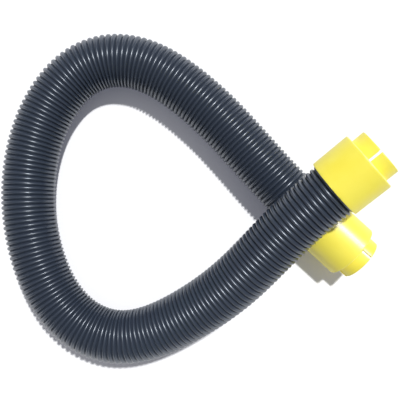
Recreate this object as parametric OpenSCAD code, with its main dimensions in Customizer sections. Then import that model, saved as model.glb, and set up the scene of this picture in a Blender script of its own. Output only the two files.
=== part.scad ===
// Ribbed vacuum hose with a swivel cuff on each end, lying in one loop that crosses over itself.
// Millimetres, +Z up. The hose and the lower cuff lie on the plane z = 0.
// The origin is on that plane, under the middle of the box round the cuffs and ferrules.

/* [Hose] */
// Outside diameter of the hose, over its ribs
hose_od = 50; // [46:1:56]
// Thickness of the hose's wall under a rib, from the bore to the rib's crest
hose_wall = 6; // [5:0.25:7]
// Depth of the grooves between the ribs
rib_depth = 2.4; // [1.2:0.2:3.2]
// Distance from one rib to the next
rib_pitch = 4.4; // [4.3:0.1:8]
// How far the underside is pressed flat where the hose lies
floor_flat = 0.5; // [0.3:0.1:0.8]

/* [Swivel cuff] */
// How far the barrel, the wide part of the cuff, stands out past the hose's ribs
cuff_step = 2.5; // [2.4:0.1:5]
// Length of the barrel
barrel_length = 36; // [30:1:50]
// Wall of the barrel between the hub and the nose
barrel_wall = 2.6; // [2:0.2:3.4]
// Wall of the skirt, the part of the barrel that turns round the hose's end
skirt_wall = 2.2; // [1.8:0.1:2.2]
// How much of the hose's end the skirt covers
hose_cover = 6.5; // [4:0.5:9]
// Radius that rounds the barrel's outer rim
rim_radius = 1.2; // [0.4:0.2:2]
// Bevel round the edge of the barrel that faces the hose
skirt_bevel = 0.6; // [0.2:0.1:0.9]
// Outside diameter of the nose, the part that plugs into a fitting
nose_od = 42.6; // [40:0.2:46]
// Length of the nose
nose_length = 12; // [8:0.5:20]
// Bore of the nose, which slips over a spigot
nose_bore = 38.2; // [34:0.2:38.2]
// Bevel round the nose's mouth
nose_bevel = 0.8; // [0.2:0.1:1.2]
// Number of slots that let the nose give
slot_count = 4; // [2:1:8]
// Width of one slot
slot_width = 2.4; // [1.2:0.2:4]
// How far the lower cuff is turned on its ferrule, in degrees
lower_roll = -14; // [-180:1:180]
// How far the upper cuff is turned on its ferrule, in degrees
upper_roll = -9; // [-180:1:180]

/* [Ferrule] */
// Length of the barbed spigot that sits in the hose
spigot_length = 30; // [20:1:40]
// Wall of the ferrule's tube
ferrule_wall = 2.4; // [1.8:0.2:3]
// Number of barbs on the spigot
barb_count = 5; // [2:1:7]
// Height of a barb
barb_height = 0.6; // [0.2:0.1:0.9]
// Length of the plain land at each end of the spigot
spigot_land = 2.4; // [1:0.2:4]
// Step from the hose's bore out to the neck that the hose butts against
neck_step = 2.2; // [1.2:0.1:2.6]
// Thickness of the flange
flange_thickness = 2.6; // [1.6:0.2:4]
// Length of the hub in the cuff that turns on the ferrule
hub_length = 8; // [5:0.5:14]
// Wall of the hub
hub_wall = 2.4; // [1.8:0.2:3]
// Thickness of the web that joins the hub to the barrel
web_thickness = 2.6; // [1.8:0.2:4]
// How far the ferrule's tube stands out of the hub
journal_overhang = 1.5; // [1:0.5:4]
// Bevel at the end of the ferrule's tube
journal_bevel = 0.6; // [0.2:0.1:0.9]

/* [Retaining ring and washer] */
// Thickness of the retaining ring along the cuff
ring_thickness = 1.6; // [1.2:0.1:2.4]
// How far the retaining ring reaches in over the flange's rim
ring_catch = 1.6; // [0.8:0.1:2.2]
// How deep the retaining ring sits in the skirt's wall
ring_seat = 0.8; // [0.5:0.1:1]
// Gap between the ends of the retaining ring
ring_gap = 7; // [4:1:12]
// Thickness of the sealing washer
washer_thickness = 1.5; // [1:0.1:3]
// How far the washer's rim stays inside the flange's rim
washer_inset = 0.3; // [0.2:0.1:0.6]

/* [Clearances] */
// Clearance all round between the ferrule and the hub that turns on it
running_clearance = 0.05; // [0.02:0.01:0.1]
// Gap between faces that turn past each other
turning_gap = 0.4; // [0.3:0.05:0.6]
// Clearance all round where one fixed piece slips over or into another
slip_clearance = 0.1; // [0.05:0.05:0.2]

/* [Hidden] */

// Route of the hose's middle from the lower cuff to the upper one: x, y, the lift off the
// floor as a share of the hose's diameter, and how far the lower cuff's larger radius
// lifts the point, from 0 to 1.
route = [
  [-2.5, -21, 0, 1], [-21, -4.2, 0, 1], [-40, 13.5, 0, 0.8], [-60, 35, 0, 0.4],
  [-83, 61, 0, 0.1], [-107.5, 88, 0, 0], [-133.5, 111, 0, 0], [-159.5, 130, 0, 0],
  [-186.5, 142, 0, 0], [-215.5, 144, 0, 0], [-242.5, 133, 0, 0], [-263.5, 110.5, 0, 0],
  [-278.5, 83.5, 0, 0], [-288, 51.5, 0, 0], [-291.5, 18.5, 0, 0], [-289.5, -15.5, 0, 0],
  [-281.5, -50.5, 0, 0], [-266.5, -84.5, 0.01, 0], [-242.5, -111, 0.04, 0],
  [-210.5, -124, 0.09, 0], [-177.5, -120, 0.16, 0.1], [-143.5, -103.5, 0.27, 0.3],
  [-110.5, -81, 0.43, 0.6], [-85.5, -58, 0.6, 0.9], [-64.8, -34.5, 0.75, 1],
  [-45.5, -13, 0.915, 1], [-27, 5, 1.065, 1], [-7.5, 22, 1.21, 1]
];

hose_sides = 8;        // flats round the hose
bore_rings = 80;       // rings along the bore
curve_steps = 12;      // steps along one stretch of the route
crossing_ribs = 20;    // ribs from each end of the hose that reach past the crossing
fine = 96;             // facets of a full circle, for the turned pieces
rim_steps = 5;         // steps round the barrel's rounded rim
barb_ramp = 0.8;       // share of a barb's length that ramps up
past = 1;              // how far a cutting block runs past the face it cuts
up = [0, 0, 1];

// Radii, from the hose's bore outwards
bore_r = hose_od / 2 - hose_wall;
crest_r = hose_od / 2 - floor_flat;
groove_r = crest_r - rib_depth;
cuff_r = hose_od / 2 + cuff_step;
spigot_r = bore_r - slip_clearance;
journal_r = spigot_r;
ferrule_bore_r = spigot_r - ferrule_wall;
neck_r = bore_r + neck_step;
skirt_r = cuff_r - skirt_wall;
flange_r = skirt_r - turning_gap;
ring_groove_r = skirt_r + ring_seat;
ring_inner_r = flange_r - ring_catch;
ring_outer_r = ring_groove_r - slip_clearance;
barrel_bore_r = cuff_r - barrel_wall;
hub_r = journal_r + running_clearance;
nose_r = nose_od / 2;
nose_bore_r = nose_bore / 2;

// Places along the cuff, measured from the hose's end face
skirt_start = -hose_cover;
ring_start = turning_gap;
ring_end = ring_start + ring_thickness;
flange_start = ring_end + turning_gap;
flange_end = flange_start + flange_thickness;
washer_end = flange_end + washer_thickness;
hub_start = washer_end + turning_gap;
hub_end = hub_start + hub_length;
journal_end = hub_end + journal_overhang;
barrel_end = skirt_start + barrel_length;
nose_end = barrel_end + nose_length;

// The hose's middle as points in space, and one more point past each end to carry the curve
middle = [for (p = route) [p.x, p.y, crest_r + p.z * hose_od + p[3] * (cuff_r - crest_r)]];
last = len(middle) - 1;
control = concat([2 * middle[0] - middle[1]], middle, [2 * middle[last] - middle[last - 1]]);

function unit(v) = v / norm(v);

// Smooth curve through four neighbouring points, at share t of the way along
function blend(p, i, t) =
  ((1 - t) ^ 3 * p[i] + (3 * t ^ 3 - 6 * t ^ 2 + 4) * p[i + 1]
    + (-3 * t ^ 3 + 3 * t ^ 2 + 3 * t + 1) * p[i + 2] + t ^ 3 * p[i + 3]) / 6;

curve = concat(
  [for (i = [0:len(control) - 4], k = [0:curve_steps - 1]) blend(control, i, k / curve_steps)],
  [middle[last]]
);

// Distance along the curve at each of its points
steps = [for (i = [1:len(curve) - 1]) norm(curve[i] - curve[i - 1])];
run = [for (i = 0, d = 0; i <= len(steps); d = d + (i < len(steps) ? steps[i] : 0), i = i + 1) d];
hose_length = run[len(steps)];
rib_count = floor(hose_length / rib_pitch);
rib_step = hose_length / rib_count;

along_x = [for (i = [0:len(curve) - 1]) [run[i], curve[i].x]];
along_y = [for (i = [0:len(curve) - 1]) [run[i], curve[i].y]];
along_z = [for (i = [0:len(curve) - 1]) [run[i], curve[i].z]];

function at(d) = [lookup(d, along_x), lookup(d, along_y), lookup(d, along_z)];
function heading(d) = unit(at(d + rib_step) - at(d - rib_step));

// One ring of the tube at distance d, with flats up, down and to the sides
function ring(d, flat_r) =
  let (
    t = heading(d),
    side = unit(cross(up, t)),
    rise = cross(t, side),
    r = flat_r / cos(180 / hose_sides)
  )
  [for (k = [0:hose_sides - 1])
    let (a = (k + 0.5) * 360 / hose_sides) at(d) + r * (cos(a) * side + sin(a) * rise)];

// Triangles that join ring i of a tube to the next one, its points starting at base
function band(i, base, flip) = [
  for (k = [0:hose_sides - 1])
    let (
      a = base + i * hose_sides + k,
      b = base + i * hose_sides + (k + 1) % hose_sides,
      c = a + hose_sides,
      d = b + hose_sides
    )
    each flip ? [[a, d, b], [a, c, d]] : [[a, b, d], [a, d, c]]
];

// Triangles that close one end between the outer ring and the bore's ring
function end_face(outer, inner, flip) = [
  for (k = [0:hose_sides - 1])
    let (
      a = outer + k,
      b = outer + (k + 1) % hose_sides,
      c = inner + k,
      d = inner + (k + 1) % hose_sides
    )
    each flip ? [[a, b, d], [a, d, c]] : [[a, d, b], [a, c, d]]
];

// Least distance between the top of the run that lies on the floor and the underside of the
// run that crosses over it, on points spread over their flats
function flat_points(d, turn) =
  let (
    t = heading(d),
    side = unit(cross(up, t)),
    rise = cross(t, side),
    half = crest_r * tan(180 / hose_sides)
  )
  [for (s = [-1:0.25:1]) at(d) + turn * crest_r * rise + s * half * side];

function least_gap() =
  let (
    under = [for (i = [0:crossing_ribs]) each flat_points(i * rib_step, 1)],
    over = [for (i = [0:crossing_ribs]) each flat_points(hose_length - i * rib_step, -1)]
  )
  min([for (a = under, b = over) norm(a - b)]);

// Stands its children on the end of the hose, with their own Z axis leading away from it
module at_end(tip, before, roll) {
  way = unit(tip - before);
  translate(tip)
    rotate([0, 90 - asin(way.z), atan2(way.y, way.x)])
      rotate([0, 0, roll])
        children();
}

module lower_end(roll = 0) {
  at_end(middle[0], middle[1], roll) children();
}

module upper_end(roll = 0) {
  at_end(middle[last], middle[last - 1], roll) children();
}

module turned(outline) {
  rotate_extrude($fn = fine) polygon(outline);
}

// A rib that the skirt covers, or would touch, is trimmed to the depth of the grooves
function is_rib(d) = min(d, hose_length - d) - rib_step / 2 >= hose_cover;

// Corrugated tube: each rib is a crest and the groove beside it
module hose() {
  outer_rings = 2 * rib_count + 1;
  outer = [for (i = [0:outer_rings - 1])
    let (d = i * rib_step / 2) each ring(d, i % 2 == 0 && is_rib(d) ? crest_r : groove_r)];
  inner = [for (i = [0:bore_rings - 1]) each ring(i * hose_length / (bore_rings - 1), bore_r)];
  base = len(outer);
  faces = concat(
    [for (i = [0:outer_rings - 2]) each band(i, 0, false)],
    [for (i = [0:bore_rings - 2]) each band(i, base, true)],
    end_face(0, base, false),
    end_face((outer_rings - 1) * hose_sides, base + (bore_rings - 1) * hose_sides, true)
  );
  echo(hose_length = hose_length, ribs = rib_count, least_gap = least_gap());
  color([0.16, 0.19, 0.24]) polyhedron(concat(outer, inner), faces, convexity = 12);
}

// Fixed bush: a barbed spigot in the hose, a neck and flange, and the tube the cuff turns on
module ferrule() {
  root_r = spigot_r - barb_height;
  barb_step = (spigot_length - 2 * spigot_land) / barb_count;
  barbs = [for (i = [0:barb_count - 1])
    let (
      start = -spigot_length + spigot_land + i * barb_step,
      tip = start + barb_ramp * barb_step
    )
    each [[root_r, start], [spigot_r, tip], [root_r, tip]]];
  outline = concat(
    [[ferrule_bore_r, -spigot_length], [root_r, -spigot_length]],
    barbs,
    [
      [root_r, -spigot_land], [spigot_r, -spigot_land], [spigot_r, 0],
      [neck_r, 0], [neck_r, flange_start],
      [flange_r, flange_start], [flange_r, flange_end],
      [journal_r, flange_end], [journal_r, journal_end - journal_bevel],
      [journal_r - journal_bevel, journal_end], [ferrule_bore_r, journal_end]
    ]
  );
  color([0.22, 0.23, 0.25]) turned(outline);
}

// Flat rubber washer that the flange presses towards the hub
module sealing_washer() {
  color([0.08, 0.08, 0.08]) turned([
    [journal_r + slip_clearance, flange_end], [flange_r - washer_inset, flange_end],
    [flange_r - washer_inset, washer_end], [journal_r + slip_clearance, washer_end]
  ]);
}

// Split ring that snaps into the cuff behind the flange and keeps the cuff on
module retaining_ring() {
  color([0.85, 0.85, 0.82]) difference() {
    turned([
      [ring_inner_r, ring_start], [ring_outer_r, ring_start],
      [ring_outer_r, ring_end], [ring_inner_r, ring_end]
    ]);
    translate([0, -ring_gap / 2, ring_start - past])
      cube([cuff_r, ring_gap, ring_thickness + 2 * past]);
  }
}

// Moulded cuff: skirt with the ring's groove, hub on its web, barrel and slotted nose
module swivel_cuff() {
  rim = [for (i = [0:rim_steps])
    let (a = 90 * i / rim_steps)
    [cuff_r - rim_radius + rim_radius * cos(a), barrel_end - rim_radius + rim_radius * sin(a)]];
  outline = concat(
    [[skirt_r, skirt_start], [cuff_r - skirt_bevel, skirt_start], [cuff_r, skirt_start + skirt_bevel]],
    rim,
    [
      [nose_r, barrel_end], [nose_r, nose_end - nose_bevel], [nose_r - nose_bevel, nose_end],
      [nose_bore_r, nose_end], [nose_bore_r, barrel_end - barrel_wall],
      [barrel_bore_r, barrel_end - barrel_wall], [barrel_bore_r, hub_start + web_thickness],
      [hub_r + hub_wall, hub_start + web_thickness], [hub_r + hub_wall, hub_end],
      [hub_r, hub_end], [hub_r, hub_start], [skirt_r, hub_start],
      [skirt_r, ring_end + slip_clearance], [ring_groove_r, ring_end + slip_clearance],
      [ring_groove_r, ring_start], [skirt_r, ring_start]
    ]
  );
  color([0.98, 0.93, 0.26]) difference() {
    turned(outline);
    for (i = [0:slot_count - 1])
      rotate([0, 0, 180 + i * 360 / slot_count])
        translate([0, -slot_width / 2, barrel_end])
          cube([cuff_r, slot_width, nose_length + past]);
  }
}

module lower_ferrule() { lower_end() ferrule(); }
module lower_sealing_washer() { lower_end() sealing_washer(); }
module lower_retaining_ring() { lower_end(lower_roll) retaining_ring(); }
module lower_swivel_cuff() { lower_end(lower_roll) swivel_cuff(); }
module upper_ferrule() { upper_end() ferrule(); }
module upper_sealing_washer() { upper_end() sealing_washer(); }
module upper_retaining_ring() { upper_end(upper_roll) retaining_ring(); }
module upper_swivel_cuff() { upper_end(upper_roll) swivel_cuff(); }

hose();
lower_ferrule();
lower_sealing_washer();
lower_retaining_ring();
lower_swivel_cuff();
upper_ferrule();
upper_sealing_washer();
upper_retaining_ring();
upper_swivel_cuff();
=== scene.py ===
"""Dresses the pool vacuum hose: a ribbed hose lying in one loop, with a yellow swivel cuff on each end.

The hose and the two cuffs are modelled here over their plain solids. The ferrules, sealing washers and
retaining rings keep their solids and get their finishes. All lengths are in metres.
"""

import logging
import math
from collections.abc import Sequence
from dataclasses import dataclass, field
from enum import Enum

import bmesh
import bpy
import numpy as np
from mathutils import Matrix, Vector


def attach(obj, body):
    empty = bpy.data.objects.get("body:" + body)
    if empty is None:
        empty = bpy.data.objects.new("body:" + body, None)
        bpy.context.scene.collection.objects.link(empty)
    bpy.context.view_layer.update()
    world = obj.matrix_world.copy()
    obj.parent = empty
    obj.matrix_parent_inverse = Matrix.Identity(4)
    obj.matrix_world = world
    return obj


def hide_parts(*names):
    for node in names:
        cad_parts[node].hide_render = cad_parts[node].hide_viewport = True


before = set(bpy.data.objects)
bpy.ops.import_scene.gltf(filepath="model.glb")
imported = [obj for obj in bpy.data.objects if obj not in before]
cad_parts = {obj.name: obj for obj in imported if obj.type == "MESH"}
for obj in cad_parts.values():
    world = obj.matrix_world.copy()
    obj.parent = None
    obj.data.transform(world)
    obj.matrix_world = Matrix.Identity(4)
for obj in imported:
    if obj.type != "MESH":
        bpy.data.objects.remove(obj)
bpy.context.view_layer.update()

LOG = logging.getLogger("pool_vacuum_hose")
MM = 0.001
MIX_FIRST_COLOUR, MIX_SECOND_COLOUR, MIX_COLOUR_RESULT = 6, 7, 2
Colour = tuple[float, float, float]


# --------------------------------------------------------------------------------------------------
# Node trees
# --------------------------------------------------------------------------------------------------


class Sock:
    """A node's output socket, or a number, that takes part in expressions."""

    def __init__(self, tree: "Tree", source: "bpy.types.NodeSocket | float") -> None:
        """Wraps a socket.

        Args:
            tree: The tree that new nodes are added to.
            source: An output socket, or a plain number.
        """
        self.tree = tree
        self.source = source

    def _math(self, operation: str, *others: "Sock | float") -> "Sock":
        """Adds one Math node.

        Args:
            operation: The Math node's operation.
            *others: The second value, where the operation has one.

        Returns:
            The node's result.
        """
        return self.tree.out("ShaderNodeMath", {"operation": operation}, dict(enumerate((self, *others))))

    def __add__(self, other: "Sock | float") -> "Sock":
        """Adds."""
        return self._math("ADD", other)

    __radd__ = __add__

    def __sub__(self, other: "Sock | float") -> "Sock":
        """Subtracts."""
        return self._math("SUBTRACT", other)

    def __rsub__(self, other: float) -> "Sock":
        """Subtracts this socket from a number."""
        return Sock(self.tree, other)._math("SUBTRACT", self)

    def __mul__(self, other: "Sock | float") -> "Sock":
        """Multiplies."""
        return self._math("MULTIPLY", other)

    __rmul__ = __mul__

    def __truediv__(self, other: "Sock | float") -> "Sock":
        """Divides."""
        return self._math("DIVIDE", other)

    def __rtruediv__(self, other: float) -> "Sock":
        """Divides a number by this socket."""
        return Sock(self.tree, other)._math("DIVIDE", self)

    def __pow__(self, other: "Sock | float") -> "Sock":
        """Raises to a power."""
        return self._math("POWER", other)

    def __abs__(self) -> "Sock":
        """Takes the size without the sign."""
        return self._math("ABSOLUTE")

    def least(self, other: "Sock | float") -> "Sock":
        """Takes the smaller of two values."""
        return self._math("MINIMUM", other)

    def most(self, other: "Sock | float") -> "Sock":
        """Takes the larger of two values."""
        return self._math("MAXIMUM", other)

    def fraction(self) -> "Sock":
        """Takes what is left after the whole number."""
        return self._math("FRACT")

    def ramp(self, low: float, high: float) -> "Sock":
        """Eases from 0 at the low value to 1 at the high one.

        Args:
            low: Where the result is 0.
            high: Where the result is 1. It may be the smaller of the two.

        Returns:
            The eased value.
        """
        inputs = {"Value": self, "From Min": low, "From Max": high}
        return self.tree.out("ShaderNodeMapRange", {"interpolation_type": "SMOOTHSTEP"}, inputs, "Result")


class Tree:
    """Adds nodes to a node tree and fills or links their sockets."""

    def __init__(self, tree: bpy.types.NodeTree) -> None:
        """Keeps the tree.

        Args:
            tree: A shader or geometry tree.
        """
        self.tree = tree

    def add(
        self,
        kind: str,
        settings: dict[str, object] | None = None,
        inputs: dict[int | str, object] | None = None,
    ) -> bpy.types.Node:
        """Adds a node.

        Args:
            kind: The node's type.
            settings: Properties of the node, set before its sockets.
            inputs: Values or links for its sockets, by name or index.

        Returns:
            The node.
        """
        node = self.tree.nodes.new(kind)
        for name, value in (settings or {}).items():
            setattr(node, name, value)
        for key, value in (inputs or {}).items():
            self.plug(node.inputs[key], value)
        return node

    def plug(self, socket: bpy.types.NodeSocket, value: object) -> None:
        """Fills one input socket.

        Args:
            socket: The input socket.
            value: A wrapped socket, a plain socket, or a value.
        """
        if isinstance(value, Sock):
            value = value.source
        if isinstance(value, bpy.types.NodeSocket):
            self.tree.links.new(value, socket)
        elif isinstance(value, tuple) and len(value) == 3 and socket.type == "RGBA":
            socket.default_value = (*value, 1.0)
        else:
            socket.default_value = value

    def out(
        self,
        kind: str,
        settings: dict[str, object] | None = None,
        inputs: dict[int | str, object] | None = None,
        output: int | str = 0,
    ) -> Sock:
        """Adds a node and wraps one of its outputs.

        Args:
            kind: The node's type.
            settings: Properties of the node.
            inputs: Values or links for its sockets.
            output: The output's name or index.

        Returns:
            The wrapped output.
        """
        return Sock(self, self.add(kind, settings, inputs).outputs[output])

    def attribute(self, name: str) -> Sock:
        """Reads a number that the mesh keeps at its points.

        Args:
            name: The attribute's name.

        Returns:
            The attribute's value.
        """
        return self.out("ShaderNodeAttribute", {"attribute_name": name}, None, "Fac")

    def noise(self, where: Sock, scale: float, detail: float = 3.0, roughness: float = 0.5) -> Sock:
        """Adds a noise pattern.

        Args:
            where: The coordinates.
            scale: Patches to a metre.
            detail: Layers of finer noise.
            roughness: Strength of the finer layers.

        Returns:
            The pattern, from 0 to 1.
        """
        inputs = {"Vector": where, "Scale": scale, "Detail": detail, "Roughness": roughness}
        return self.out("ShaderNodeTexNoise", {"noise_dimensions": "3D"}, inputs, "Fac")

    def blend(self, share: Sock, first: object, second: object) -> Sock:
        """Blends two colours.

        Args:
            share: How much of the second colour shows.
            first: A colour, or a socket that gives one.
            second: A colour, or a socket that gives one.

        Returns:
            The blended colour.
        """
        inputs = {"Factor": share, MIX_FIRST_COLOUR: first, MIX_SECOND_COLOUR: second}
        return self.out("ShaderNodeMix", {"data_type": "RGBA"}, inputs, MIX_COLOUR_RESULT)

    def bump(self, height: Sock, depth: float, strength: float = 1.0) -> Sock:
        """Turns a height into a surface's normal.

        Args:
            height: The height, from 0 to 1.
            depth: What a height of 1 is, in metres.
            strength: How much of the effect shows.

        Returns:
            The normal.
        """
        inputs = {"Strength": strength, "Distance": depth, "Height": height}
        return self.out("ShaderNodeBump", None, inputs)


def new_material(name: str) -> tuple[bpy.types.Material, Tree, bpy.types.Node]:
    """Makes a material with a Principled shader.

    Args:
        name: The material's name.

    Returns:
        The material, its tree and its shader.
    """
    material = bpy.data.materials.new(name)
    material.use_nodes = True
    material.node_tree.nodes.clear()
    tree = Tree(material.node_tree)
    shader = tree.add("ShaderNodeBsdfPrincipled")
    tree.add("ShaderNodeOutputMaterial", None, {"Surface": shader.outputs[0]})
    return material, tree, shader


# --------------------------------------------------------------------------------------------------
# Finishes
# --------------------------------------------------------------------------------------------------


@dataclass(frozen=True)
class HosePlastic:
    """Glossy near-black blue grey plastic of the hose, painted lighter in its grooves to lift their
    shade, and scuffed on its ribs.

    In every finish, a scale counts a pattern's patches to a metre, and a rise adds to the roughness.
    """

    body: Colour = (0.021, 0.031, 0.053)
    # The groove colour is painted light: lighter than the body, it lifts the shade that falls in the
    # grooves.
    groove: Colour = (0.038, 0.049, 0.072)
    scuff: Colour = (0.085, 0.105, 0.135)
    sheen: Colour = (0.87, 0.93, 1.0)
    roughness: float = 0.33
    ior: float = 1.9
    patch_scale: float = 22.0
    rub_scale: float = 260.0
    grain_scale: float = 900.0
    grain_depth: float = 0.03 * MM
    groove_lift_spread: float = 0.5
    scuff_share: float = 0.55
    patch_rise: float = 0.10
    scuff_rise: float = 0.15
    groove_rise: float = 0.08

    def build(self) -> bpy.types.Material:
        """Makes the material.

        Returns:
            The material.
        """
        material, tree, shader = new_material("hose_plastic")
        where = tree.out("ShaderNodeTexCoord", None, None, "Object")
        rib = tree.attribute("rib")
        patches = tree.noise(where, self.patch_scale, 4.0, 0.6)
        grain = tree.noise(where, self.grain_scale, 2.0)
        rubbed = tree.noise(where, self.rub_scale, 4.0, 0.65)
        scuffs = rib.ramp(0.86, 1.0) * rubbed.ramp(0.56, 0.72) * patches.ramp(0.35, 0.75)
        # Painted light: the grooves get the lighter groove colour to lift their shade, and the patches
        # spread where it stops.
        body_share = (rib + (patches - 0.5) * self.groove_lift_spread).ramp(0.15, 0.85)
        colour = tree.blend(body_share, self.groove, self.body)
        colour = tree.blend(scuffs * self.scuff_share, colour, self.scuff)
        tree.plug(shader.inputs["Base Color"], colour)
        rise = (patches - 0.5) * self.patch_rise + scuffs * self.scuff_rise + (1 - rib) * self.groove_rise
        tree.plug(shader.inputs["Roughness"], self.roughness + rise)
        tree.plug(shader.inputs["IOR"], self.ior)
        tree.plug(shader.inputs["Specular Tint"], self.sheen)
        tree.plug(shader.inputs["Normal"], tree.bump(grain * 0.6 + rubbed * 0.4, self.grain_depth))
        return material


@dataclass(frozen=True)
class CuffPlastic:
    """Satin lemon yellow moulded plastic, paler on its rims from rubbed wear and a painted highlight,
    with a fine parting line.
    """

    body: Colour = (0.985, 0.87, 0.105)
    deep: Colour = (0.975, 0.84, 0.08)
    # The edge colour is paler: partly rubbed wear, partly a painted highlight along the rounded rims.
    edge: Colour = (0.99, 0.94, 0.42)
    roughness: float = 0.36
    ior: float = 1.5
    cloud_scale: float = 45.0
    rub_scale: float = 420.0
    peel_scale: float = 750.0
    peel_depth: float = 0.05 * MM
    peel_strength: float = 0.6
    wear_and_highlight_share: float = 0.75
    cloud_rise: float = 0.08
    wear_rise: float = 0.10
    rub_rise: float = 0.08
    line_width: float = 0.003
    line_depth: float = 0.12 * MM

    def build(self) -> bpy.types.Material:
        """Makes the material.

        Returns:
            The material.
        """
        material, tree, shader = new_material("cuff_plastic")
        where = tree.out("ShaderNodeTexCoord", None, None, "Object")
        edge = tree.attribute("edge")
        around = tree.attribute("around")
        clouds = tree.noise(where, self.cloud_scale, 3.0)
        peel = tree.noise(where, self.peel_scale, 2.0)
        rubbed = tree.noise(where, self.rub_scale, 4.0, 0.6)
        # Painted highlight: rims and roundings are painted paler, partly as rubbed wear and partly as a
        # highlight along the rounding.
        wear_and_highlight = (edge * (0.35 + rubbed)).ramp(0.35, 1.1)
        colour = tree.blend(clouds.ramp(0.35, 0.75), self.body, self.deep)
        colour = tree.blend(wear_and_highlight * self.wear_and_highlight_share, colour, self.edge)
        tree.plug(shader.inputs["Base Color"], colour)
        rise = (clouds - 0.5) * self.cloud_rise + wear_and_highlight * self.wear_rise + (rubbed - 0.5) * self.rub_rise
        tree.plug(shader.inputs["Roughness"], self.roughness + rise)
        tree.plug(shader.inputs["IOR"], self.ior)
        parting = abs(abs(around - 0.5) - 0.25).ramp(self.line_width, 0.0)
        skin = tree.bump(peel * 0.7 + rubbed * 0.3, self.peel_depth, self.peel_strength)
        raised = {"Distance": self.line_depth, "Height": parting, "Normal": skin}
        tree.plug(shader.inputs["Normal"], tree.out("ShaderNodeBump", None, raised))
        return material


@dataclass(frozen=True)
class InnerPlastic:
    """Matt moulded plastic or rubber of a piece inside a cuff."""

    name: str
    body: Colour
    pale: Colour
    roughness: float
    grain_scale: float
    grain_depth: float
    cloud_scale: float = 120.0
    cloud_rise: float = 0.15
    pale_share: float = 0.7

    def build(self) -> bpy.types.Material:
        """Makes the material.

        Returns:
            The material.
        """
        material, tree, shader = new_material(self.name)
        where = tree.out("ShaderNodeTexCoord", None, None, "Object")
        clouds = tree.noise(where, self.cloud_scale, 4.0, 0.6)
        grain = tree.noise(where, self.grain_scale, 2.0)
        faded = clouds.ramp(0.3, 0.8) * self.pale_share
        tree.plug(shader.inputs["Base Color"], tree.blend(faded, self.body, self.pale))
        tree.plug(shader.inputs["Roughness"], self.roughness + (clouds - 0.5) * self.cloud_rise)
        tree.plug(shader.inputs["Normal"], tree.bump(grain, self.grain_depth))
        return material


FERRULE = InnerPlastic(
    name="ferrule_plastic",
    body=(0.045, 0.048, 0.055),
    pale=(0.075, 0.078, 0.085),
    roughness=0.48,
    grain_scale=700.0,
    grain_depth=0.04 * MM,
)
SEAL = InnerPlastic(
    name="seal_rubber",
    body=(0.014, 0.014, 0.015),
    pale=(0.03, 0.03, 0.031),
    roughness=0.72,
    grain_scale=1100.0,
    grain_depth=0.06 * MM,
)
RING = InnerPlastic(
    name="ring_nylon",
    body=(0.66, 0.64, 0.58),
    pale=(0.74, 0.73, 0.68),
    roughness=0.42,
    grain_scale=500.0,
    grain_depth=0.03 * MM,
)


# --------------------------------------------------------------------------------------------------
# Route of the hose
# --------------------------------------------------------------------------------------------------


class End(Enum):
    """The two ends of the hose, by the name that their pieces start with."""

    LOWER = "lower"
    UPPER = "upper"


# How far each cuff is turned on its ferrule at rest, in degrees
ROLL: dict[End, float] = {End.LOWER: -14.0, End.UPPER: -9.0}


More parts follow.
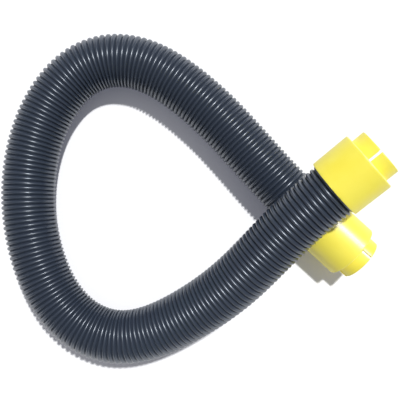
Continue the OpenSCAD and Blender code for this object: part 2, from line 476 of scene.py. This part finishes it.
@dataclass(frozen=True)
class HoseRoute:
    """The line that the middle of the hose follows, from the lower cuff to the upper one.

    Each point is x, y, the lift off the floor as a share of the hose's diameter, and how far the lower
    cuff's larger radius lifts it, from 0 to 1.
    """

    hose_od: float = 50 * MM
    floor_flat: float = 0.5 * MM
    cuff_od: float = 55 * MM
    steps: int = 12
    points: tuple[tuple[float, float, float, float], ...] = (
        (-0.0025, -0.021, 0.0, 1.0),
        (-0.021, -0.0042, 0.0, 1.0),
        (-0.04, 0.0135, 0.0, 0.8),
        (-0.06, 0.035, 0.0, 0.4),
        (-0.083, 0.061, 0.0, 0.1),
        (-0.1075, 0.088, 0.0, 0.0),
        (-0.1335, 0.111, 0.0, 0.0),
        (-0.1595, 0.13, 0.0, 0.0),
        (-0.1865, 0.142, 0.0, 0.0),
        (-0.2155, 0.144, 0.0, 0.0),
        (-0.2425, 0.133, 0.0, 0.0),
        (-0.2635, 0.1105, 0.0, 0.0),
        (-0.2785, 0.0835, 0.0, 0.0),
        (-0.288, 0.0515, 0.0, 0.0),
        (-0.2915, 0.0185, 0.0, 0.0),
        (-0.2895, -0.0155, 0.0, 0.0),
        (-0.2815, -0.0505, 0.0, 0.0),
        (-0.2665, -0.0845, 0.01, 0.0),
        (-0.2425, -0.111, 0.04, 0.0),
        (-0.2105, -0.124, 0.09, 0.0),
        (-0.1775, -0.12, 0.16, 0.1),
        (-0.1435, -0.1035, 0.27, 0.3),
        (-0.1105, -0.081, 0.43, 0.6),
        (-0.0855, -0.058, 0.6, 0.9),
        (-0.0648, -0.0345, 0.75, 1.0),
        (-0.0455, -0.013, 0.915, 1.0),
        (-0.027, 0.005, 1.065, 1.0),
        (-0.0075, 0.022, 1.21, 1.0),
    )

    def middle(self) -> np.ndarray:
        """Gives the route's points in space.

        Returns:
            One row of x, y and z for each point.
        """
        rest = self.hose_od / 2 - self.floor_flat
        rise = self.cuff_od / 2 - rest
        spots = [(x, y, rest + lift * self.hose_od + share * rise) for x, y, lift, share in self.points]
        return np.array(spots)

    def curve(self) -> np.ndarray:
        """Gives the smooth line through the route, as a uniform cubic B-spline.

        Returns:
            One row of x, y and z for each step.
        """
        p = self.middle()
        p = np.vstack([2 * p[0] - p[1], p, 2 * p[-1] - p[-2]])
        t = (np.arange(self.steps) / self.steps)[:, None]
        weights = ((1 - t) ** 3, 3 * t**3 - 6 * t**2 + 4, -3 * t**3 + 3 * t**2 + 3 * t + 1, t**3)
        parts = [sum(w * p[i + k] for k, w in enumerate(weights)) / 6 for i in range(len(p) - 3)]
        return np.vstack([*parts, p[-2]])

    def length(self) -> float:
        """Measures the hose along its middle."""
        return float(np.linalg.norm(np.diff(self.curve(), axis=0), axis=1).sum())

    def stand(self, end: End, roll: float) -> Matrix:
        """Gives the place of a cuff, whose own Z axis leads away from the hose.

        Args:
            end: Which end of the hose.
            roll: How far the cuff is turned on its ferrule, in degrees.

        Returns:
            The matrix from the cuff's own space to the part's.
        """
        p = self.middle()
        tip, before = (p[0], p[1]) if end is End.LOWER else (p[-1], p[-2])
        way = Vector(tip - before).normalized()
        tilt = Matrix.Rotation(math.pi / 2 - math.asin(way.z), 4, "Y")
        turn = Matrix.Rotation(math.atan2(way.y, way.x), 4, "Z")
        return Matrix.Translation(Vector(tip)) @ turn @ tilt @ Matrix.Rotation(math.radians(roll), 4, "Z")


# --------------------------------------------------------------------------------------------------
# Meshes
# --------------------------------------------------------------------------------------------------


def place(mesh: bpy.types.Mesh, name: str, material: bpy.types.Material) -> bpy.types.Object:
    """Puts a mesh in the scene as a piece whose object sits at the origin.

    Args:
        mesh: The finished mesh.
        name: The piece's name.
        material: Its only material.

    Returns:
        The piece.
    """
    mesh.materials.clear()
    mesh.materials.append(material)
    mesh.name = name
    piece = bpy.data.objects.new(name, mesh)
    bpy.context.scene.collection.objects.link(piece)
    return piece


def bake(carrier: bpy.types.Object) -> bpy.types.Mesh:
    """Turns a carrier and its modifiers into a plain mesh and removes the carrier.

    Args:
        carrier: An object with live modifiers.

    Returns:
        The plain mesh.
    """
    graph = bpy.context.evaluated_depsgraph_get()
    mesh = bpy.data.meshes.new_from_object(carrier.evaluated_get(graph), depsgraph=graph)
    source = carrier.data
    carrier.modifiers.clear()
    bpy.data.objects.remove(carrier)
    bpy.data.meshes.remove(source)
    return mesh


def soften(mesh: bpy.types.Mesh, crease: float) -> None:
    """Shades a mesh smooth, apart from its creases.

    Args:
        mesh: The mesh.
        crease: The angle, in degrees, from which an edge stays sharp.
    """
    body = bmesh.new()
    body.from_mesh(mesh)
    for face in body.faces:
        face.smooth = True
    for edge in body.edges:
        edge.smooth = edge.calc_face_angle(0.0) < math.radians(crease)
    body.to_mesh(mesh)
    body.free()


# --------------------------------------------------------------------------------------------------
# Hose
# --------------------------------------------------------------------------------------------------


@dataclass
class RibbedHose:
    """The corrugated hose, whose ribs follow the route.

    The rounding guard keeps the first ring of each rib from counting as the last one of the rib before.
    """

    route: HoseRoute
    finish: HosePlastic = field(default_factory=HosePlastic)
    wall: float = 6 * MM
    rib_depth: float = 2.4 * MM
    rib_pitch: float = 4.4 * MM
    rib_width: float = 0.82
    rib_fullness: float = 2.0
    sides: int = 48
    rings_per_rib: int = 8
    bore_rings: int = 120
    rounding_guard: float = 0.0001
    crease: float = 82.0

    def rib_count(self) -> int:
        """Counts the ribs that the hose's length holds."""
        return math.floor(self.route.length() / self.rib_pitch)

    def _carrier(self) -> bpy.types.Object:
        """Makes the line that the hose follows, as a chain of edges.

        Returns:
            The object that carries the chain.
        """
        line = self.route.curve()
        mesh = bpy.data.meshes.new("hose_line")
        mesh.from_pydata([tuple(p) for p in line], [(i, i + 1) for i in range(len(line) - 1)], [])
        carrier = bpy.data.objects.new("hose_line", mesh)
        bpy.context.scene.collection.objects.link(carrier)
        return carrier

    def _sizes(self) -> dict[str, tuple[str, float]]:
        """Lists the sizes that the hose's nodes take.

        Returns:
            The kind and value of each named input.
        """
        return {
            "Ribs": ("NodeSocketInt", self.rib_count()),
            "Rings per rib": ("NodeSocketInt", self.rings_per_rib),
            "Bore rings": ("NodeSocketInt", self.bore_rings),
            "Sides": ("NodeSocketInt", self.sides),
            "Crest radius": ("NodeSocketFloat", self.route.hose_od / 2),
            "Rib depth": ("NodeSocketFloat", self.rib_depth),
            "Bore radius": ("NodeSocketFloat", self.route.hose_od / 2 - self.wall),
        }

    def _tree(self, material: bpy.types.Material) -> tuple[bpy.types.NodeTree, dict[str, str]]:
        """Builds the nodes that sweep the ribbed wall and the bore along the line.

        Args:
            material: What the hose is made of.

        Returns:
            The tree, and the identifier of each named input.
        """
        group = bpy.data.node_groups.new("ribbed_hose", "GeometryNodeTree")
        tree = Tree(group)
        group.interface.new_socket("Geometry", in_out="INPUT", socket_type="NodeSocketGeometry")
        identifiers = {}
        for name, (kind, value) in self._sizes().items():
            socket = group.interface.new_socket(name, in_out="INPUT", socket_type=kind)
            socket.default_value = value
            identifiers[name] = socket.identifier
        group.interface.new_socket("Geometry", in_out="OUTPUT", socket_type="NodeSocketGeometry")
        given = tree.add("NodeGroupInput").outputs
        size = {name: Sock(tree, given[name]) for name in identifiers}
        line = tree.out("GeometryNodeMeshToCurve", None, {0: given["Geometry"]})
        join = tree.add("GeometryNodeJoinGeometry")
        tree.plug(join.inputs[0], self._bore(tree, line, size))
        tree.plug(join.inputs[0], self._ribbed_wall(tree, line, size))
        rested = self._rest_on_floor(tree, Sock(tree, join.outputs[0]))
        real = tree.out("GeometryNodeRealizeInstances", None, {0: rested})
        final = tree.out("GeometryNodeSetMaterial", None, {"Geometry": real, "Material": material})
        tree.add("NodeGroupOutput", None, {0: final})
        return group, identifiers

    def _ribbed_wall(self, tree: Tree, line: Sock, size: dict[str, Sock]) -> Sock:
        """Sweeps the outside, whose radius follows the ribs.

        Args:
            tree: The tree.
            line: The hose's line.
            size: The named inputs.

        Returns:
            The outer surface, which keeps how far each point is up a rib, from 0 to 1.
        """
        rings = {"Curve": line, "Count": size["Ribs"] * size["Rings per rib"] + 1}
        ribbed = tree.out("GeometryNodeResampleCurve", {"mode": "COUNT"}, rings)
        share = tree.out("GeometryNodeSplineParameter", None, None, "Factor")
        phase = (share * size["Ribs"] + self.rounding_guard).fraction()
        off_crest = (abs(phase - 0.5) * 2 / self.rib_width).least(1.0)
        rib = (1 - off_crest**self.rib_fullness) ** (1 / self.rib_fullness)
        radius = size["Crest radius"] - size["Rib depth"] * (1 - rib)
        return self._sweep(tree, self._store(tree, ribbed, "rib", rib), radius, size["Sides"])

    def _bore(self, tree: Tree, line: Sock, size: dict[str, Sock]) -> Sock:
        """Sweeps the bore, which faces inwards.

        Args:
            tree: The tree.
            line: The hose's line.
            size: The named inputs.

        Returns:
            The inner surface.
        """
        rings = {"Curve": line, "Count": size["Bore rings"]}
        bore_line = tree.out("GeometryNodeResampleCurve", {"mode": "COUNT"}, rings)
        inner = self._sweep(tree, bore_line, size["Bore radius"], size["Sides"])
        return tree.out("GeometryNodeFlipFaces", None, {"Mesh": inner})

    @staticmethod
    def _rest_on_floor(tree: Tree, geometry: Sock) -> Sock:
        """Flattens the hose where it lies on the floor.

        Args:
            tree: The tree.
            geometry: The hose, which reaches a little below the floor.

        Returns:
            The hose with nothing below the floor.
        """
        spot = tree.out("GeometryNodeInputPosition")
        x, y, z = tree.add("ShaderNodeSeparateXYZ", None, {0: spot}).outputs
        lifted = tree.out("ShaderNodeCombineXYZ", None, {0: x, 1: y, 2: Sock(tree, z).most(0.0)})
        return tree.out("GeometryNodeSetPosition", None, {"Geometry": geometry, "Position": lifted})

    @staticmethod
    def _store(tree: Tree, geometry: Sock, name: str, value: Sock) -> Sock:
        """Keeps a number at each point.

        Args:
            tree: The tree.
            geometry: The geometry that keeps it.
            name: The attribute's name.
            value: The number.

        Returns:
            The geometry with the attribute.
        """
        settings = {"data_type": "FLOAT", "domain": "POINT"}
        inputs = {"Geometry": geometry, "Name": name, "Value": value}
        return tree.out("GeometryNodeStoreNamedAttribute", settings, inputs)

    @staticmethod
    def _sweep(tree: Tree, line: Sock, radius: Sock, sides: Sock) -> Sock:
        """Sweeps a circle along a line, its radius changing on the way.

        Args:
            tree: The tree.
            line: The line.
            radius: The radius at each point of the line.
            sides: Points round the circle.

        Returns:
            The swept surface.
        """
        upright = tree.out("GeometryNodeSetCurveNormal", {"mode": "Z_UP"}, {"Curve": line})
        unit = {"Resolution": sides, "Radius": 1.0}
        circle = tree.out("GeometryNodeCurvePrimitiveCircle", {"mode": "RADIUS"}, unit)
        inputs = {"Curve": upright, "Profile Curve": circle, "Scale": radius}
        return tree.out("GeometryNodeCurveToMesh", None, inputs)

    @staticmethod
    def _close_ends(mesh: bpy.types.Mesh) -> None:
        """Joins the wall to the bore at both ends of the hose.

        Args:
            mesh: The swept mesh, open at its ends.
        """
        body = bmesh.new()
        body.from_mesh(mesh)
        loops = RibbedHose._loops([e for e in body.edges if e.is_boundary])
        loops.sort(key=lambda loop: tuple(round(c, 3) for c in RibbedHose._centre(loop)))
        for pair in (loops[:2], loops[2:]):
            bmesh.ops.bridge_loops(body, edges=[e for loop in pair for e in loop])
        bmesh.ops.recalc_face_normals(body, faces=body.faces)
        body.to_mesh(mesh)
        body.free()

    @staticmethod
    def _loops(edges: Sequence[bmesh.types.BMEdge]) -> list[list[bmesh.types.BMEdge]]:
        """Sorts open edges into loops.

        Args:
            edges: The open edges.

        Returns:
            One list of edges for each loop.
        """
        left = set(edges)
        loops = []
        while left:
            loop, queue = [], [left.pop()]
            while queue:
                edge = queue.pop()
                loop.append(edge)
                near = {e for v in edge.verts for e in v.link_edges if e in left}
                left -= near
                queue.extend(near)
            loops.append(loop)
        return loops

    @staticmethod
    def _centre(loop: Sequence[bmesh.types.BMEdge]) -> Vector:
        """Finds the middle of a loop of edges."""
        return sum((v.co for e in loop for v in e.verts), Vector()) / (2 * len(loop))

    def build(self) -> bpy.types.Object:
        """Makes the hose.

        Returns:
            The piece.
        """
        material = self.finish.build()
        carrier = self._carrier()
        group, identifiers = self._tree(material)
        modifier = carrier.modifiers.new("ribs", "NODES")
        modifier.node_group = group
        modifier[identifiers["Ribs"]] = self.rib_count()
        modifier[identifiers["Sides"]] = self.sides
        mesh = bake(carrier)
        self._close_ends(mesh)
        soften(mesh, self.crease)
        return place(mesh, "ribbed_hose", material)

    def dress(self, piece: bpy.types.Object, on_far_end: Sequence[bpy.types.Object]) -> None:
        """Ties the hose to its body and hides the hose's plain solid.

        Args:
            piece: The hose.
            on_far_end: The pieces on the upper end. Not used.
        """
        line = self.route.curve()
        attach(piece, "hose")
        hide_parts("hose")
        round(self.route.length(), 3)


# --------------------------------------------------------------------------------------------------
# Cuffs
# --------------------------------------------------------------------------------------------------


@dataclass
class SwivelCuff:
    """A moulded cuff: skirt, hub on its web, barrel, and a stepped nose with slots.

    Heights run along the cuff's own axis, away from the hose, and are 0 at the hose's end. A
    wear-and-highlight value, from 0 to 1, says how far the rim there is painted paler, partly as rubbed
    wear and partly as a painted highlight.
    """

    end: End
    roll: float
    route: HoseRoute
    barrel_length: float = 36 * MM
    barrel_wall: float = 2.6 * MM
    skirt_wall: float = 2.2 * MM
    hose_cover: float = 6.5 * MM
    nose_od: float = 42.6 * MM
    nose_length: float = 12 * MM
    nose_bore: float = 38.2 * MM
    slot_count: int = 4
    slot_width: float = 2.4 * MM
    hub_bore: float = 37.9 * MM
    hub_length: float = 8 * MM
    hub_wall: float = 2.4 * MM
    web: float = 2.6 * MM
    hub_start: float = 7.0 * MM
    ring_start: float = 0.4 * MM
    ring_width: float = 1.7 * MM
    ring_seat: float = 0.8 * MM
    rim_radius: float = 1.2 * MM
    skirt_round: float = 0.6 * MM
    mouth_round: float = 0.8 * MM
    root_fillet: float = 0.5 * MM
    lip: float = 0.35 * MM
    slot_bevel: float = 0.22 * MM
    bevel_from: float = 55.0
    crease: float = 38.0
    columns_per_slot: int = 36
    corner_steps: int = 6
    barrel_steps: int = 12
    face_steps: int = 3
    nose_steps: int = 5
    bore_steps: int = 4
    # How pale each rim is painted: partly rubbed wear, partly a painted highlight.
    rim_wear_and_highlight: float = 0.6
    skirt_wear_and_highlight: float = 0.4
    inner_wear_and_highlight: float = 0.3

    def _corner(
        self, centre: tuple[float, float], radius: float, first: float, last: float
    ) -> list[tuple[float, float, float]]:
        """Rounds one corner of the outline.

        Args:
            centre: The middle of the rounding, as radius and height.
            radius: The rounding's own radius.
            first: The angle that it starts at, in degrees.
            last: The angle that it ends at.

        Returns:
            Points of radius, height and edge, where edge is 1 at the middle of the rounding.
        """
        points = []
        for i in range(self.corner_steps + 1):
            t = i / self.corner_steps
            a = math.radians(first + (last - first) * t)
            r, z = centre[0] + radius * math.cos(a), centre[1] + radius * math.sin(a)
            points.append((r, z, 1 - abs(2 * t - 1)))
        return points

    def _outside(self) -> tuple[list[tuple[float, float, float]], int]:
        """Draws the outside of the cuff's section, from the skirt's edge to the mouth.

        Returns:
            The points of radius, height and edge, and which of them is the nose's outer root.
        """
        r = self.route.cuff_od / 2
        start, face, mouth = self._stations()
        nose = self.nose_od / 2
        s, m, c, f = self.skirt_round, self.mouth_round, self.rim_radius, self.root_fillet
        points = [(r - self.skirt_wall + self.lip, start, self.rim_wear_and_highlight)]
        points += self._corner((r - s, start + s), s, -90, 0)
        rise = self.barrel_length / self.barrel_steps
        points += [(r, start + rise * k, 0.0) for k in range(1, self.barrel_steps)]
        points += self._corner((r - c, face - c), c, 0, 90)
        rise = (r - c - nose - f) / self.face_steps
        points += [(nose + f + rise * k, face, 0.0) for k in range(self.face_steps - 1, 0, -1)]
        outer_root = len(points)
        points += self._corner((nose + f, face + f), f, 270, 180)
        rise = self.nose_length / self.nose_steps
        points += [(nose, face + rise * k, 0.0) for k in range(1, self.nose_steps)]
        points += self._corner((nose - m, mouth - m), m, 0, 90)
        return points, outer_root

    def _inside(self) -> tuple[list[tuple[float, float, float]], int]:
        """Draws the inside of the cuff's section, from the mouth back to the skirt's edge.

        Returns:
            The points of radius, height and edge, and which of them is the nose's inner root.
        """
        start, face, mouth = self._stations()
        lip, bore, hub = self.lip, self.nose_bore / 2, self.hub_bore / 2
        skirt = self.route.cuff_od / 2 - self.skirt_wall
        cavity = self.route.cuff_od / 2 - self.barrel_wall
        ceiling = face - self.barrel_wall
        web_top, hub_top = self.hub_start + self.web, self.hub_start + self.hub_length
        hub_side = hub + self.hub_wall
        ring_top, groove = self.ring_start + self.ring_width, skirt + self.ring_seat
        points = [(bore + lip, mouth, self.rim_wear_and_highlight), (bore, mouth - lip, self.rim_wear_and_highlight)]
        fall = self.nose_length / self.bore_steps
        points += [(bore, mouth - fall * k, 0.0) for k in range(1, self.bore_steps)]
        inner_root = len(points)
        points += [
            (bore, face, 0.0),
            (bore, ceiling + lip, self.inner_wear_and_highlight),
            (bore + lip, ceiling, self.inner_wear_and_highlight),
            (cavity - 2 * lip, ceiling, 0.0),
            (cavity, ceiling - 2 * lip, 0.0),
            (cavity, (face + self.hub_start) / 2, 0.0),
            (cavity, web_top + 2 * lip, 0.0),
            (cavity - 2 * lip, web_top, 0.0),
            (hub_side + lip, web_top, 0.0),
            (hub_side, web_top + lip, 0.0),
            (hub_side, hub_top - lip, self.inner_wear_and_highlight),
            (hub_side - lip, hub_top, self.inner_wear_and_highlight),
            (hub, hub_top, self.inner_wear_and_highlight),
            (hub, self.hub_start, 0.0),
            (skirt, self.hub_start, 0.0),
            (skirt, ring_top, 0.0),
            (groove, ring_top, 0.0),
            (groove, self.ring_start, 0.0),
            (skirt, self.ring_start, 0.0),
            (skirt, start + lip, self.skirt_wear_and_highlight),
        ]
        return points, inner_root

    def _stations(self) -> tuple[float, float, float]:
        """Works out the heights along the cuff's axis that its outline is drawn from.

        Returns:
            The heights of the skirt's edge, the barrel's face and the nose's mouth.
        """
        start = -self.hose_cover
        face = start + self.barrel_length
        return start, face, face + self.nose_length

    def _angle(self, column: int, radius: float) -> float:
        """Gives a column's angle round the cuff. The two columns at a slot stay a slot's width apart.

        Args:
            column: The column.
            radius: The point's distance from the axis.

        Returns:
            The angle, in radians, from the first slot.
        """
        slot, step = divmod(column, self.columns_per_slot)
        pitch = 2 * math.pi / self.slot_count
        half = math.asin(self.slot_width / 2 / min(radius, self.nose_od / 2))
        room = pitch - 2 * half
        return slot * pitch + half + room * step / (self.columns_per_slot - 1)

    def _faces(
        self, body: bmesh.types.BMesh, rows: list[list[bmesh.types.BMVert]], roots: tuple[int, int]
    ) -> None:
        """Joins the points into faces and leaves the slots open.

        Args:
            body: The mesh that is being made.
            rows: The points, one list for each column.
            roots: The outer and inner root of the nose.
        """
        outer_root, inner_root = roots
        count, size = len(rows), len(rows[0])
        for column in range(count):
            here, there = rows[column], rows[(column + 1) % count]
            is_slot = column % self.columns_per_slot == self.columns_per_slot - 1
            for i in range(size):
                j = (i + 1) % size
                if is_slot and outer_root <= i < inner_root:
                    continue
                body.faces.new((here[i], there[i], there[j], here[j]))
            if is_slot:
                body.faces.new((here[outer_root], there[outer_root], there[inner_root], here[inner_root]))
                body.faces.new(here[outer_root : inner_root + 1])
                body.faces.new(there[outer_root : inner_root + 1][::-1])

    def build(self, material: bpy.types.Material) -> bpy.types.Object:
        """Makes the cuff.

        Args:
            material: What it is made of.

        Returns:
            The piece.
        """
        outside, outer_root = self._outside()
        inside, inner_root = self._inside()
        outline = outside + inside
        body = bmesh.new()
        edge_layer = body.verts.layers.float.new("edge")
        around_layer = body.verts.layers.float.new("around")
        stand = self.route.stand(self.end, self.roll)
        rows = []
        for column in range(self.slot_count * self.columns_per_slot):
            row = []
            for radius, height, edge in outline:
                angle = math.pi + self._angle(column, radius)
                spot = Vector((radius * math.cos(angle), radius * math.sin(angle), height))
                vert = body.verts.new(stand @ spot)
                vert[edge_layer] = edge
                vert[around_layer] = (angle / (2 * math.pi)) % 1.0
                row.append(vert)
            rows.append(row)
        self._faces(body, rows, (outer_root, len(outside) + inner_root))
        bmesh.ops.recalc_face_normals(body, faces=body.faces)
        mesh = bpy.data.meshes.new("cuff_blank")
        body.to_mesh(mesh)
        body.free()
        carrier = bpy.data.objects.new("cuff_blank", mesh)
        bpy.context.scene.collection.objects.link(carrier)
        bevel = carrier.modifiers.new("edges", "BEVEL")
        bevel.width, bevel.segments, bevel.limit_method = self.slot_bevel, 2, "ANGLE"
        bevel.angle_limit = math.radians(self.bevel_from)
        finished = bake(carrier)
        soften(finished, self.crease)
        return place(finished, f"{self.end.value}_cuff_shell", material)

    def dress(self, piece: bpy.types.Object) -> None:
        """Ties the cuff to its body.

        Args:
            piece: The cuff.
        """
        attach(piece, f"{self.end.value}_cuff")
        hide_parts(f"{self.end.value}_swivel_cuff")


@dataclass
class InnerPieces:
    """The ferrule, sealing washer and retaining ring in one cuff, which keep their solids."""

    end: End

    def dress(self, finishes: dict[str, bpy.types.Material]) -> list[bpy.types.Object]:
        """Gives each solid its finish.

        Args:
            finishes: The material for each kind of piece.

        Returns:
            The dressed solids.
        """
        dressed = []
        for kind, material in finishes.items():
            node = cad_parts[f"{self.end.value}_{kind}"]
            node.data.materials.clear()
            node.data.materials.append(material)
            dressed.append(node)
            LOG.info("dressed %s", node.name)
        return dressed


# --------------------------------------------------------------------------------------------------
# Studio
# --------------------------------------------------------------------------------------------------


@dataclass
class Studio:
    """A white floor under one crisp lamp, seen from straight above."""

    image_size: int = 400
    sensor: float = 36.0
    focal: float = 514.0
    clip: tuple[float, float] = (0.01, 50.0)
    eye: tuple[float, float, float] = (-0.1255, 0.0085, 0.520)
    lamp_way: tuple[float, float, float] = (0.24, 0.43, 1.0)
    lamp_spread: float = 3.0
    lamp_share: float = 0.88
    gloss_way: tuple[float, float, float] = (0.61, 0.28, 0.74)
    gloss_energy: float = 3.6
    ambient: float = 0.29
    sheen: float = 0.24
    floor_size: float = 12.0
    floor_colour: Colour = (0.93, 0.93, 0.93)
    floor_roughness: float = 0.9
    floor_glow: Colour = (0.042, 0.045, 0.070)

    def camera(self) -> None:
        """Sets the camera, whose focal length is given in pixels of a square picture."""
        data = bpy.data.cameras.new("camera")
        data.sensor_width = self.sensor
        data.lens = self.focal * self.sensor / self.image_size
        data.clip_start, data.clip_end = self.clip
        camera = bpy.data.objects.new("camera", data)
        camera.location = self.eye
        bpy.context.scene.collection.objects.link(camera)
        bpy.context.scene.camera = camera

    def _sun(self, name: str, way: Vector, energy: float) -> bpy.types.Object:
        """Hangs one far lamp.

        Args:
            name: The lamp's name.
            way: The direction that leads to it.
            energy: Its strength.

        Returns:
            The lamp.
        """
        data = bpy.data.lights.new(name, "SUN")
        data.energy = energy
        data.angle = math.radians(self.lamp_spread)
        lamp = bpy.data.objects.new(name, data)
        lamp.rotation_euler = way.to_track_quat("Z", "Y").to_euler()
        lamp.location = way
        bpy.context.scene.collection.objects.link(lamp)
        return lamp

    def lamps(self, glossy: Sequence[bpy.types.Object]) -> None:
        """Hangs the lamp, which gives the floor its share of a plain level, and one that only adds gloss.

        Args:
            glossy: The pieces in which the second lamp mirrors.
        """
        way = Vector(self.lamp_way).normalized()
        self._sun("key", way, self.lamp_share * math.pi / way.z)
        gloss = self._sun("gloss", Vector(self.gloss_way).normalized(), self.gloss_energy)
        gloss.visible_diffuse = False
        mirrors = bpy.data.collections.new("glossy_pieces")
        for piece in glossy:
            mirrors.objects.link(piece)
        gloss.light_linking.receiver_collection = mirrors

    def world(self) -> None:
        """Fills the room with soft light, and shows it white behind the floor."""
        world = bpy.data.worlds.new("room")
        world.use_nodes = True
        world.node_tree.nodes.clear()
        tree = Tree(world.node_tree)
        path = tree.add("ShaderNodeLightPath").outputs
        seen, mirrored = Sock(tree, path["Is Camera Ray"]), Sock(tree, path["Is Glossy Ray"])
        strength = self.ambient + seen * (1 - self.ambient) + mirrored * (self.sheen - self.ambient)
        light = tree.add("ShaderNodeBackground", None, {"Color": (1.0, 1.0, 1.0), "Strength": strength})
        tree.add("ShaderNodeOutputWorld", None, {"Surface": light.outputs[0]})
        bpy.context.scene.world = world

    def floor(self) -> None:
        """Lays the floor, which keeps the shadow and shows white where the lamp lights it."""
        half = self.floor_size / 2
        mesh = bpy.data.meshes.new("floor")
        corners = [(-half, -half, 0), (half, -half, 0), (half, half, 0), (-half, half, 0)]
        mesh.from_pydata(corners, [], [(0, 1, 2, 3)])
        material, tree, shader = new_material("floor_paper")
        tree.plug(shader.inputs["Base Color"], self.floor_colour)
        tree.plug(shader.inputs["Roughness"], self.floor_roughness)
        tree.plug(shader.inputs["Specular IOR Level"], 0.0)
        path = tree.add("ShaderNodeLightPath").outputs
        seen = Sock(tree, path["Is Camera Ray"]).most(Sock(tree, path["Is Glossy Ray"]))
        tree.plug(shader.inputs["Emission Color"], tree.blend(seen, (0.0, 0.0, 0.0), self.floor_glow))
        tree.plug(shader.inputs["Emission Strength"], 1.0)
        place(mesh, "floor", material)

    def build(self, glossy: Sequence[bpy.types.Object]) -> None:
        """Sets the floor, the light and how the picture is shown.

        Args:
            glossy: The pieces that get the lamp for gloss.
        """
        self.floor()
        self.lamps(glossy)
        self.world()
        bpy.context.scene.view_settings.view_transform = "Standard"


def main() -> None:
    """Builds and dresses the hose and its cuffs in the studio."""
    logging.basicConfig(level=logging.INFO, format="%(name)s: %(message)s")
    studio = Studio()
    studio.camera()
    route = HoseRoute()
    hose = RibbedHose(route)
    hose_piece = hose.build()
    faces = len(hose_piece.data.polygons)
    LOG.info("%s: %.3f m, %d ribs, %d faces", hose_piece.name, route.length(), hose.rib_count(), faces)
    cuffs = {}
    yellow = CuffPlastic().build()
    for end in End:
        cuff = SwivelCuff(end, ROLL[end], route)
        cuffs[end] = cuff.build(yellow)
        cuff.dress(cuffs[end])
        LOG.info("%s: %d faces", cuffs[end].name, len(cuffs[end].data.polygons))
    inner = {"ferrule": FERRULE.build(), "sealing_washer": SEAL.build(), "retaining_ring": RING.build()}
    inner_pieces = {end: InnerPieces(end).dress(inner) for end in End}
    hose.dress(hose_piece, [cuffs[End.UPPER], *inner_pieces[End.UPPER]])
    studio.build(list(cuffs.values()))


if __name__ == "__main__":
    main()
